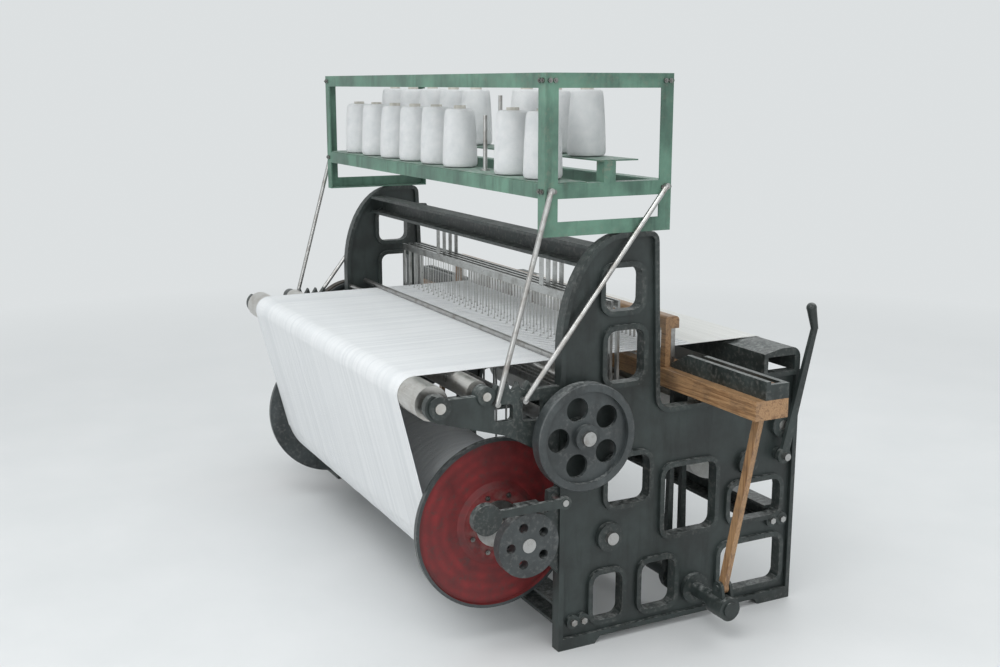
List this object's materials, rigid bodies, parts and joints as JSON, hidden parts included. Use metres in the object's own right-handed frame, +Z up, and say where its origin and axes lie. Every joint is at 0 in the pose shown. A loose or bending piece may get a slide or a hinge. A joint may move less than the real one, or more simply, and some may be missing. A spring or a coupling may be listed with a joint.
{
  "type": "power loom",
  "caption": "Shuttle power loom with cast side frames, warp beam, heald frames, swinging sley, take-up rollers and an overhead creel of yarn cones.",
  "frame": {"origin": "on the floor, midway between the side frames, in the plane of the healds' front", "axes": "+X across the cloth, +Y from the weaver's side to the warp beam, +Z up"},
  "size_m": [2.596, 1.3958, 1.75],
  "materials": {
    "cast_iron": "oily dark paint",
    "steel": "worn bright",
    "aluminium": "dull",
    "green_paint": "chipped satin paint",
    "red_paint": "worn oxide paint",
    "yarn": "matt cotton",
    "wood": "oiled and worn",
    "belt": "matt"
  },
  "bodies": {
    "frame": {"side_frame_left": "cast_iron", "side_frame_right": "cast_iron", "breast_beam": "cast_iron", "front_girt": "cast_iron", "rear_girt": "cast_iron", "top_girt": "cast_iron", "roller_brackets": "cast_iron", "beam_arms": "cast_iron", "frame_bolts": "steel", "motor_bracket": "cast_iron", "motor": "cast_iron", "drive_belt": "belt", "warp_sheet": "yarn", "cloth_sheet": "yarn", "lease_rods": "steel", "creel_frame": "green_paint", "creel_shelves": "green_paint", "creel_pegs": "steel", "creel_stays": "steel", "yarn_cones": "yarn"},
    "crank": {"crank_shaft": "steel", "crank_gear": "cast_iron", "drive_pulley": "cast_iron", "flywheel": "cast_iron"},
    "arm_left": {"crank_arm_left": "cast_iron"},
    "arm_right": {"crank_arm_right": "cast_iron"},
    "bottom": {"bottom_shaft": "steel", "bottom_gear": "cast_iron", "tappets": "cast_iron"},
    "sley": {"rocking_shaft": "cast_iron", "sley_swords": "cast_iron", "race_board": "wood", "reed": "steel", "reed_cap": "wood", "shuttle_boxes": "cast_iron"},
    "shuttle": {"shuttle": "wood", "pirn": "yarn"},
    "stick_left": {"picking_stick_left": "wood"},
    "stick_right": {"picking_stick_right": "wood"},
    "healds_odd": {"heald_frame_1": "aluminium", "heald_frame_3": "aluminium"},
    "healds_even": {"heald_frame_2": "aluminium", "heald_frame_4": "aluminium"},
    "treadle_1": {"treadle_1": "cast_iron"},
    "treadle_2": {"treadle_2": "cast_iron"},
    "roller_front": {"heald_roller_front": "steel"},
    "roller_back": {"heald_roller_back": "steel"},
    "warp_beam": {"beam_barrel": "steel", "beam_flanges": "red_paint", "wound_warp": "yarn"},
    "back_roller": {"back_roller": "steel"},
    "guide_roller": {"guide_roller": "steel"},
    "take_up": {"take_up_roller": "steel"},
    "cloth_roll": {"cloth_roller": "wood", "rolled_cloth": "yarn"},
    "handle": {"starting_handle": "cast_iron"},
    "letoff": {"letoff_lever": "cast_iron"},
    "motor_rotor": {"motor_pulley": "cast_iron"}
  },
  "joints": [
    {"name": "crank_spin", "type": "hinge", "parent": "frame", "child": "crank", "pos_m": [0, 0.285, 0.695], "axis": [1, 0, 0], "continuous": true},
    {"name": "arm_left_turn", "type": "hinge", "parent": "crank", "child": "arm_left", "pos_m": [0, 0.285, 0.765], "axis": [1, 0, 0], "continuous": true},
    {"name": "arm_right_turn", "type": "hinge", "parent": "crank", "child": "arm_right", "pos_m": [0, 0.285, 0.765], "axis": [1, 0, 0], "continuous": true},
    {"name": "bottom_spin", "type": "hinge", "parent": "frame", "child": "bottom", "pos_m": [0, 0.165, 0.345], "axis": [1, 0, 0], "continuous": true},
    {"name": "sley_swing", "type": "hinge", "parent": "frame", "child": "sley", "pos_m": [0, -0.165, 0.11], "axis": [1, 0, 0], "range_deg": [-7.4, 7.4]},
    {"name": "shuttle_flight", "type": "slide", "parent": "sley", "child": "shuttle", "axis": [1, 0, 0], "range_m": [0, 2.077]},
    {"name": "stick_left_swing", "type": "hinge", "parent": "sley", "child": "stick_left", "pos_m": [-1.085, -0.165, 0.17], "axis": [0, 1, 0], "range_deg": [0, 22.5]},
    {"name": "stick_right_swing", "type": "hinge", "parent": "sley", "child": "stick_right", "pos_m": [1.085, -0.165, 0.17], "axis": [0, 1, 0], "range_deg": [0, 22.5]},
    {"name": "heald_odd_lift", "type": "slide", "parent": "frame", "child": "healds_odd", "axis": [0, 0, 1], "range_m": [-0.045, 0.045]},
    {"name": "heald_even_lift", "type": "slide", "parent": "frame", "child": "healds_even", "axis": [0, 0, 1], "range_m": [-0.045, 0.045]},
    {"name": "treadle_1_swing", "type": "hinge", "parent": "frame", "child": "treadle_1", "pos_m": [0, 0.3, 0.205], "axis": [1, 0, 0], "range_deg": [-11, 11]},
    {"name": "treadle_2_swing", "type": "hinge", "parent": "frame", "child": "treadle_2", "pos_m": [0, 0.3, 0.205], "axis": [1, 0, 0], "range_deg": [-12, 12]},
    {"name": "heald_roller_front_turn", "type": "hinge", "parent": "frame", "child": "roller_front", "pos_m": [0, 0.065, 1.205], "axis": [1, 0, 0], "range_deg": [-215, 215]},
    {"name": "heald_roller_back_turn", "type": "hinge", "parent": "frame", "child": "roller_back", "pos_m": [0, 0.117, 1.205], "axis": [1, 0, 0], "range_deg": [-215, 215]},
    {"name": "warp_beam_turn", "type": "hinge", "parent": "frame", "child": "warp_beam", "pos_m": [0, 0.47, 0.385], "axis": [1, 0, 0], "continuous": true},
    {"name": "back_roller_turn", "type": "hinge", "parent": "frame", "child": "back_roller", "pos_m": [0, 0.735, 0.8267], "axis": [1, 0, 0], "continuous": true},
    {"name": "guide_roller_turn", "type": "hinge", "parent": "frame", "child": "guide_roller", "pos_m": [0, 0.59, 0.8447], "axis": [1, 0, 0], "continuous": true},
    {"name": "take_up_turn", "type": "hinge", "parent": "frame", "child": "take_up", "pos_m": [0, -0.496, 0.62], "axis": [1, 0, 0], "continuous": true},
    {"name": "cloth_roll_turn", "type": "hinge", "parent": "frame", "child": "cloth_roll", "pos_m": [0, -0.36225, 0.50777], "axis": [1, 0, 0], "continuous": true},
    {"name": "handle_swing", "type": "hinge", "parent": "frame", "child": "handle", "pos_m": [-0.966, -0.49, 0.52], "axis": [1, 0, 0], "range_deg": [-6, 12]},
    {"name": "letoff_lift", "type": "hinge", "parent": "frame", "child": "letoff", "pos_m": [-1.002, 0.361, 0.507], "axis": [1, 0, 0], "range_deg": [0, 15]},
    {"name": "motor_spin", "type": "hinge", "parent": "frame", "child": "motor_rotor", "pos_m": [1.05, 0.3, 0.15], "axis": [1, 0, 0], "continuous": true}
  ],
  "couplings": [
    {"joint": "arm_left_turn", "follows": "crank_spin", "ratio": -1},
    {"joint": "arm_right_turn", "follows": "crank_spin", "ratio": -1},
    {"joint": "bottom_spin", "follows": "crank_spin", "ratio": -0.5},
    {"joint": "motor_spin", "follows": "crank_spin", "ratio": 3.8043},
    {"joint": "stick_left_swing", "follows": "shuttle_flight", "rad_per_m": 0.18487},
    {"joint": "stick_right_swing", "follows": "shuttle_flight", "rad_per_m": 0.18487},
    {"joint": "heald_even_lift", "follows": "heald_odd_lift", "ratio": -1},
    {"joint": "treadle_1_swing", "follows": "heald_odd_lift", "rad_per_m": -4.0323},
    {"joint": "treadle_2_swing", "follows": "heald_odd_lift", "rad_per_m": 4.5045},
    {"joint": "heald_roller_front_turn", "follows": "heald_odd_lift", "rad_per_m": -76.923},
    {"joint": "heald_roller_back_turn", "follows": "heald_odd_lift", "rad_per_m": -76.923},
    {"joint": "cloth_roll_turn", "follows": "take_up_turn", "ratio": -0.5636}
  ]
}
